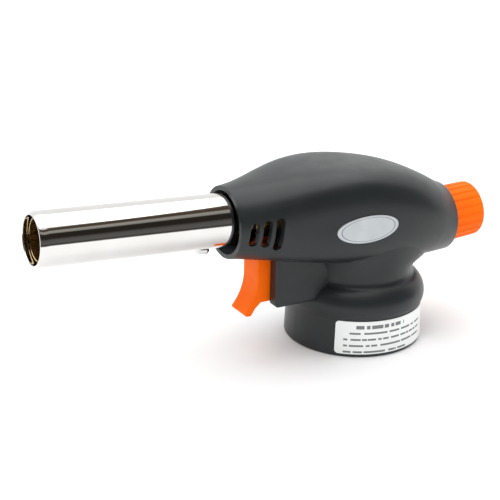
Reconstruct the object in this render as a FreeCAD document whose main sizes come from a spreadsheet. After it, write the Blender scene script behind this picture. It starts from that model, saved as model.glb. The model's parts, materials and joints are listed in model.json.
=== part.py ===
"""Hand torch head for a bayonet gas cartridge.

Frame: +X is the way the flame points, +Y is the torch's left, +Z is up.  The origin is the centre
of the base's lower edge, where the cartridge goes in.  All lengths are millimetres.

Parts on the burner axis are drawn along their own X axis and then pitched up with the tube.  Parts
on the valve axis are drawn the same way and pitched the other way, so their rear end points up.
"""
import FreeCAD, Part
import math
import os
import re
import Sketcher

from FreeCAD import Placement, Rotation, Vector

DRIVING = {
    # housing; far is more than the whole part's reach, for blocks that take half of it away
    "wall": 1.9, "rim_wall": 1.5, "front_rim": 53.4, "far": 90.0,
    # base skirt, from the lower edge up
    "skirt_foot": 24.5, "skirt_radius": 24.0, "skirt_top": 13.5, "skirt_edge_round": 0.8,
    "bulge_radius": 24.95, "bulge_height": 17.2, "bulge_end_radius": 21.3, "bulge_end_height": 23.6,
    "bulge_low_arc": 7.7, "bulge_high_arc": 7.45,
    "neck_radius": 20.2, "neck_height": 25.5, "neck_arc": 2.3,
    "lead_radius": 22.5, "lead_depth": 3.6, "socket_radius": 22.1, "socket_depth": 10.6,
    "lip_radius": 21.0, "lip_top": 11.8,
    "ledge_radius": 15.6, "ledge_bottom": 13.3, "ledge_top": 15.0,
    "chamber_radius": 22.6, "chamber_top": 17.8, "neck_bore": 18.3, "neck_bore_start": 23.6,
    "neck_bore_top": 36.0,
    # guard block behind the trigger
    "block_front": 38.0, "block_back": 8.0, "block_half": 10.0, "block_bottom": 18.8,
    "block_top": 37.5, "block_round": 1.2, "block_wall": 1.8,
    # vent slots in the sides, upper and lower end of each
    "slot_half": 1.4, "slot_lean": 0.10,
    "front_slot_place": 49.2, "front_slot_low": 45.4, "front_slot_high": 50.6,
    "middle_slot_place": 45.1, "middle_slot_low": 44.8, "middle_slot_high": 51.3,
    "rear_slot_place": 41.1, "rear_slot_low": 43.4, "rear_slot_high": 51.9,
    # burner, on the tube axis
    "tube_pitch": 3.0, "tube_height": 47.17, "tube_radius": 8.98, "tube_wall": 0.6,
    "tube_back": 46.0, "tube_mouth": 120.0, "mouth_radius": 7.75, "lip_length": 1.9,
    "lip_round": 0.95,
    "head_back": 20.0, "head_shoulder": 34.0, "head_front": 66.0, "spigot_front": 70.0,
    "mixer_radius": 3.65, "mixer_bore": 2.8, "head_radius": 8.38, "air_port_radius": 1.6,
    "air_port_place": 30.0,
    "sleeve_radius": 7.1, "sleeve_bore": 6.6, "sleeve_front": 118.0,
    "holder_back": 100.0, "holder_front": 102.0, "flame_hole_radius": 1.15, "flame_hole_ring": 4.2,
    "jet_back": 16.0, "jet_front": 25.0, "jet_radius": 2.2, "jet_hex": 3.3, "jet_bore": 0.9,
    "jet_orifice": 0.35, "jet_orifice_back": 23.5, "pipe_socket_front": 19.0,
    "filter_back": 20.0, "filter_front": 23.0,
    "electrode_offset": 4.9, "insulator_radius": 1.2, "insulator_back": 26.0,
    "insulator_front": 76.0, "electrode_radius": 0.5, "electrode_back": 26.0,
    "electrode_front": 97.5,
    "tube_screw_place": 61.0, "tube_screw_radius": 1.25, "tube_screw_head": 2.5,
    "tube_screw_head_height": 1.7, "tube_screw_tip": 4.2,
    # gas valve and knob, on the valve axis, measured forward from the base's axis
    "valve_pitch": 3.0, "valve_height": 36.46,
    "barrel_radius": 6.4, "barrel_back": -20.0, "barrel_front": 6.0,
    "spindle_radius": 1.9, "spindle_bore": 1.95, "seat_back": -5.6, "gas_way": 0.9,
    "gland_bore": 3.6, "gland_bore_end": -13.0, "gland_radius": 3.55, "gland_end": -15.0,
    "gland_hex": 4.6, "gland_back": -24.0, "ring_place": -14.0, "ring_radius": 2.75,
    "ring_section": 0.75, "pipe_boss_radius": 3.2, "pipe_boss_front": 9.0,
    "needle_tip": -3.2, "needle_radius": 1.25, "needle_back": -7.2, "spindle_back": -45.0,
    "spindle_tap_depth": 6.0, "knob_screw_radius": 1.0,
    "washer_radius": 4.1, "washer_bore": 2.4, "washer_back": -24.6,
    "knob_front": -25.0, "knob_hub_radius": 5.0, "knob_skirt_front": -33.6, "knob_back": -49.3,
    "knob_root_radius": 10.2, "knob_end_radius": 9.95, "knob_edge_round": 0.5,
    "knob_recess_radius": 3.6, "knob_recess_floor": -45.0, "flute_radius": 1.0,
    "flute_ring": 10.65, "flute_count": 22,
    "knob_screw_head": 2.4, "knob_screw_head_height": 1.5,
    # valve foot, stem and cartridge fitting, on the base's axis
    "column_radius": 6.8, "foot_radius": 15.0, "foot_bottom": 13.2, "foot_top": 16.2,
    "stem_radius": 2.4, "stem_bore": 0.7, "stem_bottom": 4.0, "stem_shoulder": 7.0,
    "stem_tip_radius": 1.4, "stem_top": 20.0, "stem_ring_height": 9.0,
    "gasket_radius": 8.2, "gasket_bore": 5.0, "gasket_bottom": 10.4,
    "plate_radius": 21.9, "plate_bottom": 12.0, "plate_thick": 1.2, "plate_hole": 4.4,
    "claw_inner": 12.6, "claw_outer": 16.4, "claw_half": 4.5, "claw_bottom": 5.0, "claw_thick": 1.2,
    "foot_screw_ring": 10.9, "foot_screw_radius": 1.25, "foot_screw_head": 2.4,
    "foot_screw_head_height": 1.2,
    # igniter
    "piezo_height": 27.4, "piezo_radius": 4.3, "piezo_back": 9.5, "piezo_front": 26.4,
    "piezo_bore": 3.2, "piezo_floor": 11.0, "plunger_radius": 3.12, "plunger_back": 18.0,
    "plunger_front": 32.0, "plunger_bore": 2.55, "plunger_floor": 26.0,
    "coil_wire": 0.5, "coil_radius": 2.05, "coil_pitch": 1.6, "coil_end_gap": 0.3,
    # ignition lead: where it starts, and its rise, side step and climb to the electrode
    "wire_radius": 0.8, "wire_bend": 1.3, "wire_gap": 0.05, "wire_place": 12.5, "wire_rise": 2.6,
    "wire_side": 6.4, "wire_slant": 1.0, "wire_climb": 6.5, "wire_drop": 3.0, "wire_run": 5.0,
    # trigger
    "trigger_half": 4.9, "trigger_gap": 0.4, "trigger_back": 32.0, "trigger_bottom": 20.0,
    "trigger_front": 42.7, "trigger_travel": 5.0, "finger_start": 27.5, "finger_arc": 18.0,
    "tip_front": 47.2, "tip_height": 16.6, "tip_bottom": 15.5, "tip_back": 44.8,
    "tip_round": 0.9, "hook_back": 42.2, "hook_height": 19.2,
    "guide_half": 6.3, "guide_bottom": 38.3, "guide_top": 39.8, "guide_back": 32.6,
    "guide_front": 39.5, "hook_notch": 3.5, "floor_slot_bottom": 29.5,
    # shell screws, which run across the housing
    "boss_radius": 2.7, "boss_pilot": 1.3, "boss_clear": 1.7, "shell_screw_radius": 1.3,
    "shell_screw_head": 2.6, "shell_screw_head_height": 1.8, "shell_screw_length": 18.0,
    "head_seat_bore": 2.9, "screw_reach": 5.0, "pilot_depth": 12.0,
    # ribs across the housing, which carry the burner and the valve
    "rib_thick": 2.0, "burner_rib": 35.2, "mixer_rib": 22.6, "valve_rib": -15.0,
    "lead_notch_half": 1.3, "lead_notch_low": 51.0, "lead_notch_high": 56.0,
    # trim
    "badge_place": 9.9, "badge_height": 46.6, "badge_half_length": 12.0, "badge_half_height": 4.65,
    "badge_thick": 0.8, "label_thick": 0.2, "label_low": 1.3, "label_high": 13.2,
    "label_start": 42.0, "label_end": 138.0,
}

# Housing stations from rear to front: place, top height, half width, squareness.
STATIONS = [
    (-35.1, 50.8, 12.50, 2.0),
    (-27.5, 54.7, 15.50, 2.4),
    (-15.0, 60.4, 19.10, 3.0),
    (0.0, 63.8, 21.00, 3.7),
    (15.0, 65.2, 21.00, 3.9),
    (29.0, 64.5, 18.90, 3.3),
    (42.0, 62.4, 15.50, 2.5),
    (53.4, 61.3, 12.26, 2.0),
]
# The underside is a straight line between these two heights.
UNDERSIDE_REAR = 25.8
UNDERSIDE_FRONT = 36.75
SECTION_POINTS = 32
# Where a turned base surface closes on itself, as a share of a turn, clear of the middle plane.
SEAM_TURN = 0.125

# Neck flare stations: height, half length, half width, tilt in degrees.
FLARE = [
    (21.5, 19.6, 19.6, 0.0),
    (25.3, 20.15, 20.15, 0.0),
    (28.4, 21.1, 20.15, 3.0),
    (31.2, 24.2, 20.1, 7.0),
    (33.5, 28.0, 20.1, 7.0),
    (38.5, 30.0, 20.2, 7.0),
]

# Shell screws: place and height, one at each corner of the housing.
SHELL_SCREWS = [(25.0, 59.0), (-19.5, 52.0), (-13.5, 20.6), (13.5, 20.0)]

# How far the hollow runs on past the two rims.
RIM_OVERRUN = 3.0

# Gas pipe between the valve and the jet: its outside, its bends, and the way to the first bend.
PIPE_RADIUS = 1.6
PIPE_BEND = 3.6
PIPE_RUN = 6.4

document = FreeCAD.newDocument("TorchHead")
sheet = document.addObject("Spreadsheet::Sheet", "Sizes")
for row, (alias, value) in enumerate(DRIVING.items(), start=1):
    sheet.set(f"A{row}", alias)
    sheet.set(f"B{row}", str(value))
    sheet.setAlias(f"B{row}", alias)
document.recompute()

parts = {}


def bound(text):
    """An expression in which each word is a cell of the sheet."""
    return re.sub(r"[a-z_]{3,}", lambda word: "Sizes." + word.group(), str(text))


def value(text):
    """The number that an expression gives."""
    return float(sheet.evalExpression(bound(text)))


def keep(node, thing):
    """Register a finished piece under its node name."""
    thing.Label = node
    parts[node] = thing
    return thing


# ---------------------------------------------------------------- sketches and PartDesign bodies

def new_body(name):
    return document.addObject("PartDesign::Body", name)


def plane(body, role):
    return next(item for item in body.Origin.OriginFeatures if item.Role == role)


def new_sketch(body, role, name, offset=None):
    """A sketch on one of the body's own origin planes, moved off it by offset if given."""
    sketch = body.newObject("Sketcher::SketchObject", name)
    sketch.AttachmentSupport = [(plane(body, role), "")]
    sketch.MapMode = "FlatFace"
    if offset is not None:
        sketch.AttachmentOffset = Placement(Vector(0, 0, value(offset)), Rotation())
        sketch.setExpression("AttachmentOffset.Base.z", bound(offset))
    return sketch


def bind_point(sketch, geometry, end, across, up):
    for kind, text in (("DistanceX", across), ("DistanceY", up)):
        index = sketch.addConstraint(Sketcher.Constraint(kind, -1, 1, geometry, end, value(text)))
        sketch.setExpression(f"Constraints[{index}]", bound(text))


def arc_through(start, end, radius, turn):
    """The arc from start to end; turn is +1 when it runs counter-clockwise."""
    chord = end.sub(start)
    half = chord.Length / 2
    rise = math.sqrt(max(radius ** 2 - half ** 2, 0.0))
    normal = Vector(-chord.y, chord.x, 0).normalize()
    centre = start.add(end).multiply(0.5).add(normal.multiply(turn * rise))
    first, last = (start, end) if turn > 0 else (end, start)
    angles = [math.atan2(point.y - centre.y, point.x - centre.x) for point in (first, last)]
    circle = Part.Circle(centre, Vector(0, 0, 1), radius)
    return Part.ArcOfCircle(circle, angles[0], angles[1])


def add_outline(sketch, points):
    """A closed outline.  A point is (across, up), or (across, up, radius, turn) at an arc's end."""
    base = sketch.GeometryCount
    places = [Vector(value(point[0]), value(point[1]), 0) for point in points]
    ends = []
    for index, point in enumerate(points):
        start, end = places[index - 1], places[index]
        if len(point) == 4:
            sketch.addGeometry(arc_through(start, end, value(point[2]), point[3]))
            ends.append((1, 2) if point[3] > 0 else (2, 1))
            size = sketch.addConstraint(Sketcher.Constraint("Radius", base + index, value(point[2])))
            sketch.setExpression(f"Constraints[{size}]", bound(point[2]))
        else:
            sketch.addGeometry(Part.LineSegment(start, end))
            ends.append((1, 2))
    for index in range(len(points)):
        following = (index + 1) % len(points)
        joint = Sketcher.Constraint(
            "Coincident", base + index, ends[index][1], base + following, ends[following][0])
        sketch.addConstraint(joint)
        bind_point(sketch, base + index, ends[index][1], points[index][0], points[index][1])


def add_circle(sketch, across, up, radius):
    circle = Part.Circle(Vector(value(across), value(up), 0), Vector(0, 0, 1), value(radius))
    index = sketch.addGeometry(circle)
    size = sketch.addConstraint(Sketcher.Constraint("Radius", index, value(radius)))
    sketch.setExpression(f"Constraints[{size}]", bound(radius))
    bind_point(sketch, index, 3, across, up)


def turned(name, points, axis="H_Axis", body=None):
    """A body turned about its own X axis, or about its Z axis when axis is V_Axis."""
    body = body or new_body(name)
    sketch = new_sketch(body, "XZ_Plane", name + "_profile")
    add_outline(sketch, points)
    feature = body.newObject("PartDesign::Revolution", name + "_turned")
    feature.Profile = sketch
    feature.ReferenceAxis = (sketch, [axis])
    feature.Angle = 360
    document.recompute()
    return body


def padded(name, role, outlines, low, high, circles=(), body=None):
    """A body padded between two distances along the normal of one of its origin planes."""
    body = body or new_body(name)
    sketch = new_sketch(body, role, name + "_outline", low)
    for points in outlines:
        add_outline(sketch, points)
    for circle in circles:
        add_circle(sketch, *circle)
    feature = body.newObject("PartDesign::Pad", name + "_pad")
    feature.Profile = sketch
    feature.setExpression("Length", bound(f"({high}) - ({low})"))
    document.recompute()
    return body


def pocket(body, name, role, circles, length, start="0", outlines=(), backward=False):
    """Cut circles or outlines into a body, along the plane's normal unless backward."""
    before = body.Shape.Volume
    sketch = new_sketch(body, role, name + "_outline", start)
    for circle in circles:
        add_circle(sketch, *circle)
    for points in outlines:
        add_outline(sketch, points)
    feature = body.newObject("PartDesign::Pocket", name)
    feature.Profile = sketch
    feature.Reversed = not backward
    feature.setExpression("Length", bound(length))
    document.recompute()
    if body.Shape.Volume > before - 1e-4:
        raise RuntimeError(f"{name} cut nothing")
    return feature


def repeat(body, feature, axis_role, count):
    """Repeat a cut or a pad round one of the body's origin axes."""
    pattern = body.newObject("PartDesign::PolarPattern", feature.Name + "_ring")
    pattern.Originals = [feature]
    pattern.Axis = (plane(body, axis_role), [""])
    pattern.Angle = 360
    pattern.Occurrences = count
    body.Tip = pattern
    document.recompute()
    return pattern


def rounded(body, name, radius, wanted):
    """Round the edges of a body for which wanted(edge) is true."""
    tip = body.Tip
    edges = [f"Edge{number}" for number, edge in enumerate(tip.Shape.Edges, start=1) if wanted(edge)]
    if not edges:
        raise RuntimeError(f"{name} found no edge")
    feature = body.newObject("PartDesign::Fillet", name)
    feature.Base = (tip, edges)
    feature.setExpression("Radius", bound(radius))
    document.recompute()
    return feature


def ring_at(along, radius, axis="x"):
    """A test for the round edge at a place and radius on a turned body's axis."""
    def wanted(edge):
        curve = edge.Curve
        if not isinstance(curve, Part.Circle):
            return False
        return abs(getattr(curve.Center, axis) - value(along)) < 1e-3 and (
            abs(curve.Radius - value(radius)) < 1e-3)
    return wanted


def pitched(thing, height, angle, up, along="0"):
    """Put a piece that is drawn along X on an axis through the base's axis at a height."""
    turn = -1 if up else 1
    base = Vector(value(along) * math.cos(math.radians(value(angle))), 0, 0)
    base.z = value(height) - turn * value(along) * math.sin(math.radians(value(angle)))
    thing.Placement = Placement(base, Rotation(Vector(0, turn, 0), value(angle)))
    tilt = bound(angle)
    sign = "+" if up else "-"
    thing.setExpression("Placement.Base.x", f"{bound(along)} * cos({tilt} * 1 deg)")
    thing.setExpression(
        "Placement.Base.z", f"{bound(height)} {sign} {bound(along)} * sin({tilt} * 1 deg)")
    thing.setExpression("Placement.Rotation.Angle", f"{tilt} * 1 deg")
    return thing


def on_burner(thing, along="0"):
    return pitched(thing, "tube_height", "tube_pitch", True, along)


def on_valve(thing, along="0"):
    return pitched(thing, "valve_height", "valve_pitch", False, along)


# ---------------------------------------------------------------- Part objects

def box(name, low, high):
    """A Part::Box between two corners, each given as three expressions."""
    thing = document.addObject("Part::Box", name)
    for axis, start, end in zip("xyz", low, high):
        thing.setExpression(f"Placement.Base.{axis}", bound(start))
        side = {"x": "Length", "y": "Width", "z": "Height"}[axis]
        thing.setExpression(side, bound(f"({end}) - ({start})"))
    return thing


def rod(name, radius, length, base, direction):
    """A Part::Cylinder from base along a direction."""
    thing = document.addObject("Part::Cylinder", name)
    thing.setExpression("Radius", bound(radius))
    thing.setExpression("Height", bound(length))
    thing.Placement = Placement(Vector(0, 0, 0), Rotation(Vector(0, 0, 1), Vector(*direction)))
    for axis, text in zip("xyz", base):
        thing.setExpression(f"Placement.Base.{axis}", bound(text))
    return thing


def plain(name, shape):
    """A Part::Feature for a shape made with Part's own functions."""
    thing = document.addObject("Part::Feature", name)
    thing.Shape = shape
    return thing


def fused(name, things):
    thing = document.addObject("Part::MultiFuse", name)
    thing.Shapes = things
    document.recompute()
    return thing


def cut(name, base, tool):
    thing = document.addObject("Part::Cut", name)
    thing.Base = base
    thing.Tool = tool
    document.recompute()
    return thing


def common(name, first, second):
    thing = document.addObject("Part::Common", name)
    thing.Base = first
    thing.Tool = second
    document.recompute()
    return thing


# ---------------------------------------------------------------- housing

def closed_curve(points):
    curve = Part.BSplineCurve()
    curve.interpolate(Points=points, PeriodicFlag=True)
    return Part.Wire([curve.toShape()])


def underside(place):
    """The height of the housing's underside at a place along X."""
    first, last = STATIONS[0][0], STATIONS[-1][0]
    share = (place - first) / (last - first)
    return UNDERSIDE_REAR + share * (UNDERSIDE_FRONT - UNDERSIDE_REAR)


def housing_section(place, top, half_width, squareness, inset):
    """A rounded-square section, drawn in by inset all round."""
    bottom = underside(place)
    middle = (top + bottom) / 2
    tall = (top - bottom) / 2 - inset
    wide = half_width - inset
    points = []
    for step in range(SECTION_POINTS):
        angle = 2 * math.pi * step / SECTION_POINTS
        across, up = math.cos(angle), math.sin(angle)
        reach = (abs(across / wide) ** squareness + abs(up / tall) ** squareness) ** (-1 / squareness)
        points.append(Vector(place, across * reach, middle + up * reach))
    return closed_curve(points)


def housing_form(name, inset, overrun):
    """The housing's rounded hull.  overrun carries its two ends straight on past the rims."""
    stations = list(STATIONS)
    walls = [value(inset)] * len(stations)
    walls[0] = walls[-1] = min(value(inset), value("rim_wall"))
    sections = [housing_section(*station, wall) for station, wall in zip(stations, walls)]
    hull = Part.makeLoft(sections, True, False)
    if not overrun:
        return plain(name, hull)
    ends = []
    for section, reach in ((sections[0], -overrun), (sections[-1], overrun)):
        ends.append(Part.Face(section).extrude(Vector(reach, 0, 0)))
    return plain(name, hull.fuse(ends))


def ellipse_wire(height, half_length, half_width, tilt):
    """An ellipse round the base's axis, tilted up towards the front."""
    lean = math.tan(math.radians(tilt))
    points = []
    for step in range(SECTION_POINTS):
        angle = 2 * math.pi * (step / SECTION_POINTS + SEAM_TURN)
        along = half_length * math.cos(angle)
        points.append(Vector(along, half_width * math.sin(angle), height + along * lean))
    return closed_curve(points)


def neck_flare():
    return plain("neck_flare", Part.makeLoft([ellipse_wire(*station) for station in FLARE], True, False))


def skirt_form():
    """The turned base: a straight skirt, a round bulge and a waist."""
    body = turned("skirt_form", [
        ("0", "neck_height"),
        ("0", "0"),
        ("skirt_foot", "0"),
        ("skirt_radius", "skirt_top"),
        ("bulge_radius", "bulge_height", "bulge_low_arc", 1),
        ("bulge_end_radius", "bulge_end_height", "bulge_high_arc", 1),
        ("neck_radius", "neck_height", "neck_arc", -1),
    ], axis="V_Axis")
    rounded(body, "skirt_edge", "skirt_edge_round", ring_at("0", "skirt_foot", "z"))
    return off_seam(body)


def off_seam(body):
    """Turn a body about the base's axis, so that no surface closes on the middle plane."""
    body.Placement = Placement(Vector(0, 0, 0), Rotation(Vector(0, 0, 1), 360 * SEAM_TURN))
    document.recompute()
    return body


def skirt_space():
    """What is hollow in the base: the cartridge socket, the plate's groove and the neck."""
    return off_seam(turned("skirt_space", [
        ("0", "neck_bore_top"),
        ("0", "0 - wall"),
        ("lead_radius", "0 - wall"),
        ("lead_radius", "lead_depth"),
        ("socket_radius", "lead_depth"),
        ("socket_radius", "socket_depth"),
        ("lip_radius", "socket_depth"),
        ("lip_radius", "lip_top"),
        ("plate_radius + 0.05", "lip_top"),
        ("plate_radius + 0.05", "ledge_bottom"),
        ("ledge_radius", "ledge_bottom"),
        ("ledge_radius", "ledge_top"),
        ("chamber_radius", "ledge_top"),
        ("chamber_radius", "chamber_top"),
        ("neck_bore", "neck_bore_start"),
        ("neck_bore", "neck_bore_top"),
    ], axis="V_Axis"))


def block_form():
    """The guard block behind the trigger."""
    outline = [
        ("block_back", "block_top"),
        ("block_back", "block_bottom"),
        ("block_front", "block_bottom"),
        ("block_front", "block_top"),
    ]
    body = padded("block_form", "XZ_Plane", [outline], "0 - block_half", "block_half")

    def wanted(edge):
        spot = edge.CenterOfMass
        front = abs(spot.x - value("block_front")) < 1e-3
        low = abs(spot.z - value("block_bottom")) < 1e-3
        side = abs(abs(spot.y) - value("block_half")) < 1e-3
        return (front and side) or (front and low) or (low and side)
    rounded(body, "block_edges", "block_round", wanted)
    return body


def block_space():
    """The piezo chamber and the trigger's way out through the block and the housing floor."""
    chamber = box("block_chamber",
                  ("block_back", "block_wall - block_half", "block_bottom + block_wall"),
                  ("block_front - block_wall", "block_half - block_wall", "block_top"))
    way = box("trigger_way",
              ("trigger_back - trigger_travel - 1", "0 - trigger_half - trigger_gap",
               "trigger_bottom - trigger_gap"),
              ("block_front + 1", "trigger_half + trigger_gap", "guide_bottom"))
    floor = box("floor_slot",
                ("trigger_back - trigger_travel - 1", "0 - trigger_half - trigger_gap",
                 "floor_slot_bottom"),
                ("trigger_front + trigger_gap", "trigger_half + trigger_gap", "guide_bottom"))
    notch = box("hook_way",
                ("block_front - hook_notch", "0 - trigger_half - trigger_gap", "block_bottom - 1"),
                ("block_front + 1", "trigger_half + trigger_gap", "trigger_bottom"))
    return fused("block_space", [chamber, way, floor, notch])


def slot_outline(place, low, high):
    """One leaning slot with round ends; its lower end is further forward."""
    shift = f"({high} - {low}) * slot_lean / 2"
    return [
        (f"{place} + {shift} - slot_half", low),
        (f"{place} + {shift} + slot_half", low, "slot_half * 1.0001", 1),
        (f"{place} - {shift} + slot_half", high),
        (f"{place} - {shift} - slot_half", high, "slot_half * 1.0001", 1),
    ]


def vent_slots():
    outlines = [slot_outline(f"{name}_slot_place", f"{name}_slot_low", f"{name}_slot_high")
                for name in ("front", "middle", "rear")]
    return padded("vent_slots", "XZ_Plane", outlines, "0 - skirt_radius", "skirt_radius")


def rib(name, place, bore, on_axis):
    """A plate across the housing with a round hole for what it carries."""
    blank = box(name + "_blank", (place, "0 - skirt_radius", "neck_height"),
                (f"{place} + rib_thick", "skirt_radius", "skirt_radius * 3"))
    hole = rod(name + "_hole", bore, "rib_thick * 4", ("0", "0", "0"), (1, 0, 0))
    height, pitch, up = on_axis
    turn = -1 if up else 1
    angle = math.radians(value(pitch))
    start = value(f"{place} - rib_thick")
    base = Vector(start, 0, value(height) - turn * start * math.tan(angle))
    direction = Vector(math.cos(angle), 0, -turn * math.sin(angle))
    hole.Placement = Placement(base, Rotation(Vector(0, 0, 1), direction))
    for axis in "xyz":
        hole.setExpression(f"Placement.Base.{axis}", None)
    return cut(name, blank, hole)


def housing():
    """Both half shells: the right one, its mirror image, and the openings of each."""
    forms = [housing_form("hull_form", "0", 0), neck_flare(), skirt_form(), block_form()]
    spaces = [housing_form("hull_space", "wall", RIM_OVERRUN), skirt_space()]
    burner_axis = ("tube_height", "tube_pitch", True)
    valve_axis = ("valve_height", "valve_pitch", False)
    works = [
        rib("front_rib", "burner_rib", "head_radius", burner_axis),
        rib("middle_rib", "mixer_rib", "mixer_radius", burner_axis),
        rib("rear_rib", "valve_rib", "barrel_radius", valve_axis),
    ]
    pilots, clearances = [], []
    for number, (place, height) in enumerate(SHELL_SCREWS, start=1):
        works.append(rod(f"boss_{number}", "boss_radius", "skirt_radius * 2",
                         (place, "0 - skirt_radius", height), (0, 1, 0)))
        pilots.append(rod(f"pilot_{number}", "boss_pilot", "screw_reach + pilot_depth",
                          (place, "0 - screw_reach", height), (0, 1, 0)))
        clearances.append(rod(f"clearance_{number}", "boss_clear", "skirt_radius * 2",
                              (place, "screw_reach", height), (0, -1, 0)))
        clearances.append(rod(f"head_seat_{number}", "head_seat_bore", "skirt_radius * 2",
                              (place, "screw_reach - shell_screw_length", height), (0, -1, 0)))
    window = box("rib_window",
                 ("block_back", "0 - guide_half - trigger_gap", "block_bottom"),
                 ("front_rim", "guide_half + trigger_gap", "guide_top + trigger_gap"))
    side = box("right_side", ("0 - far", "0 - far", "0 - far"), ("far", "0", "far"))
    outside = on_side("right_outside", forms, side)
    space = on_side("right_space", spaces, side)
    inner_works = cut("right_works", on_side("right_plates", works, side), window)
    cavity = cut("right_cavity", space, inner_works)
    right = cut("right_solid", outside, cavity)
    left = document.addObject("Part::Mirroring", "left_solid")
    left.Source = right
    left.Normal = Vector(0, 1, 0)
    document.recompute()
    lead_notch = box("lead_notch", ("mixer_rib - 1", "0 - lead_notch_half", "lead_notch_low"),
                     ("mixer_rib + rib_thick + 1", "lead_notch_half", "lead_notch_high"))
    shared = [block_space(), vent_slots(), lead_notch]
    for node, solid, ways in (("left_shell", left, pilots), ("right_shell", right, clearances)):
        openings = fused(node + "_openings", shared + ways)
        keep(node, cut(node + "_half", solid, openings))


def on_side(name, things, side):
    """What a group of solids has on one side of the middle plane, fused."""
    halves = [common(f"{name}_{number}", thing, side) for number, thing in enumerate(things)]
    return fused(name, halves)


def shell_screws():
    """Four pan-head screws across the housing, with heads on the right."""
    screws = []
    for number, (place, height) in enumerate(SHELL_SCREWS, start=1):
        shank = rod(f"shank_{number}", "shell_screw_radius", "shell_screw_length",
                    (place, "screw_reach - shell_screw_length", height), (0, 1, 0))
        head = rod(f"head_{number}", "shell_screw_head", "shell_screw_head_height",
                   (place, "screw_reach - shell_screw_length", height), (0, -1, 0))
        screws.append(fused(f"shell_screw_{number}", [shank, head]))
    group = document.addObject("Part::Compound", "shell_screws")
    group.Links = screws
    keep("shell_screws", group)


# ---------------------------------------------------------------- burner

def flame_tube():
    bore = "tube_radius - tube_wall"
    body = turned("flame_tube", [
        ("tube_back", "tube_radius"),
        ("tube_back", bore),
        ("tube_mouth - lip_length", bore),
        ("tube_mouth - lip_length", "mouth_radius"),
        ("tube_mouth", "mouth_radius"),
        ("tube_mouth", "tube_radius"),
    ])
    rounded(body, "mouth_round", "lip_round", ring_at("tube_mouth", "tube_radius"))
    pocket(body, "tube_screw_hole", "XY_Plane",
           [("tube_screw_place", "0", "tube_screw_radius")], "tube_radius * 1.2", backward=True)
    keep("flame_tube", on_burner(body))


def burner_head():
    """Brass mixer and head in one: the jet screws into its back and the sleeve sits on its front."""
    body = turned("burner_head", [
        ("head_back", "mixer_radius"),
        ("head_back", "jet_radius"),
        ("jet_front", "jet_radius"),
        ("jet_front", "mixer_bore"),
        ("spigot_front", "mixer_bore"),
        ("spigot_front", "sleeve_bore"),
        ("head_front", "sleeve_bore"),
        ("head_front", "head_radius"),
        ("head_shoulder", "head_radius"),
        ("head_shoulder", "mixer_radius"),
    ])
    for name, role in (("upright_ports", "XY_Plane"), ("cross_ports", "XZ_Plane")):
        ports = [("air_port_place", "0", "air_port_radius")]
        pocket(body, name, role, ports, "head_radius * 2", start="0 - head_radius")
    pocket(body, "electrode_way", "YZ_Plane", [("0", "electrode_offset", "insulator_radius")],
           "spigot_front", start="head_shoulder - 1")
    pocket(body, "tube_screw_tap", "XY_Plane",
           [("tube_screw_place", "0", "tube_screw_radius")], "head_radius * 1.2", backward=True)
    keep("burner_head", on_burner(body))


def burner_sleeve():
    body = turned("burner_sleeve", [
        ("head_front", "sleeve_radius"),
        ("head_front", "sleeve_bore"),
        ("sleeve_front", "sleeve_bore"),
        ("sleeve_front", "sleeve_radius"),
    ])
    keep("burner_sleeve", on_burner(body))


def flame_holder():
    """Pierced disc that the flame sits on."""
    body = turned("flame_holder", [
        ("holder_back", "sleeve_bore"),
        ("holder_back", "0"),
        ("holder_front", "0"),
        ("holder_front", "sleeve_bore"),
    ])
    pocket(body, "middle_hole", "YZ_Plane", [("0", "0", "flame_hole_radius")],
           "holder_front - holder_back + 2", start="holder_back - 1")
    hole = pocket(body, "ring_hole", "YZ_Plane", [("0", "flame_hole_ring", "flame_hole_radius")],
                  "holder_front - holder_back + 2", start="holder_back - 1")
    repeat(body, hole, "X_Axis", 8)
    keep("flame_holder", on_burner(body))


def hexagon(radius):
    """Corners of a hexagon round the origin."""
    half = f"{radius} / 2"
    rise = f"{radius} * 0.8660254"
    return [
        (radius, "0"), (half, rise), (f"0 - {half}", rise),
        (f"0 - {radius}", "0"), (f"0 - {half}", f"0 - {rise}"), (half, f"0 - {rise}"),
    ]


def jet():
    """Jet nipple with its hexagon, and the filter pressed into it."""
    body = turned("jet_nipple", [
        ("head_back", "jet_radius"),
        ("head_back", "jet_bore"),
        ("jet_orifice_back", "jet_bore"),
        ("jet_orifice_back", "jet_orifice"),
        ("jet_front", "jet_orifice"),
        ("jet_front", "jet_radius"),
    ])
    padded("jet_hexagon", "YZ_Plane", [hexagon("jet_hex")], "jet_back", "head_back", body=body)
    pocket(body, "pipe_socket", "YZ_Plane", [("0", "0", f"{PIPE_RADIUS}")],
           "pipe_socket_front - jet_back", start="jet_back")
    pocket(body, "jet_way", "YZ_Plane", [("0", "0", "jet_bore")],
           "head_back - jet_back", start="jet_back")
    keep("jet_nipple", on_burner(body))
    disc = turned("jet_filter", [
        ("filter_back", "jet_bore"),
        ("filter_back", "0"),
        ("filter_front", "0"),
        ("filter_front", "jet_bore"),
    ])
    keep("jet_filter", on_burner(disc))


def electrode():
    """Spark wire and the ceramic sleeve round it, above the burner's axis."""
    for node, back, front, circles in (
            ("electrode_insulator", "insulator_back", "insulator_front",
             [("0", "electrode_offset", "insulator_radius"),
              ("0", "electrode_offset", "electrode_radius")]),
            ("electrode", "electrode_back", "electrode_front",
             [("0", "electrode_offset", "electrode_radius")])):
        body = padded(node, "YZ_Plane", [], back, front, circles)
        keep(node, on_burner(body))


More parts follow.
